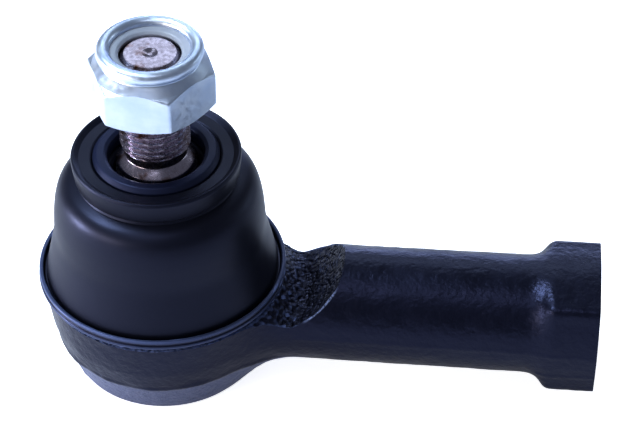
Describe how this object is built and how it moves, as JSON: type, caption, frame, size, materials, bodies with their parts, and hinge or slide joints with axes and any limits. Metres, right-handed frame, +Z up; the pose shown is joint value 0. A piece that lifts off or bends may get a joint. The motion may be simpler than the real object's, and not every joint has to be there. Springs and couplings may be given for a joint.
{
  "type": "tie rod end",
  "caption": "Steering tie rod end: tapered ball stud in a forged socket with a rubber boot, a lock nut and a threaded arm with a square wrench block.",
  "frame": {"origin": "centre of the closing cover's underside, on the stud's axis at rest, which is the lowest plane of the part", "axes": "+Z up along the stud towards the nut, +X along the arm towards its threaded bore, +Y across the arm"},
  "size_m": [0.0981, 0.0434, 0.0673],
  "materials": {
    "black_paint": "semi-gloss black paint over rough forging",
    "bare_steel": "pressed steel, thinly oiled",
    "spring_steel": "hardened and oiled",
    "acetal": "moulded",
    "oiled_steel": "machined steel with dark oil",
    "ring_paint": "semi-gloss black paint",
    "boot_rubber": "moulded, soft sheen",
    "lip_ring_plastic": "moulded black",
    "zinc_plate": "bright blue-white zinc plate",
    "nylon": "moulded, slightly glossy"
  },
  "bodies": {
    "housing_body": {"housing": "black_paint", "end_cover": "bare_steel", "preload_spring": "spring_steel", "lower_ball_seat": "acetal", "upper_ball_seat": "acetal", "boot_base_ring": "ring_paint"},
    "boot_swivel": {"dust_boot": "boot_rubber"},
    "boot_lip": {"boot_lip_ring": "lip_ring_plastic"},
    "stud": {"ball_stud": "oiled_steel"},
    "nut_carriage": {"nylon_insert": "nylon"},
    "nut": {"lock_nut": "zinc_plate"}
  },
  "joints": [
    {"name": "swing_direction", "type": "hinge", "parent": "housing_body", "child": "boot_swivel", "pos_m": [0, 0, 0.015], "axis": [0, 0, 1], "continuous": true},
    {"name": "stud_tilt", "type": "hinge", "parent": "boot_swivel", "child": "boot_lip", "pos_m": [0, 0, 0.015], "axis": [0, 1, 0], "range_deg": [-22, 22], "deforming": ["dust_boot"]},
    {"name": "stud_spin", "type": "hinge", "parent": "boot_lip", "child": "stud", "pos_m": [0, 0, 0.015], "axis": [0, 0, 1], "continuous": true},
    {"name": "nut_travel", "type": "slide", "parent": "stud", "child": "nut_carriage", "axis": [0, 0, 1], "range_m": [-0.0076, 0.0095]},
    {"name": "nut_spin", "type": "hinge", "parent": "nut_carriage", "child": "nut", "pos_m": [0, 0, 0.0559], "axis": [0, 0, 1], "range_deg": [-2160, 2700]}
  ],
  "couplings": [
    {"joint": "nut_travel", "follows": "nut_spin", "m_per_rad": 0.00019894}
  ]
}
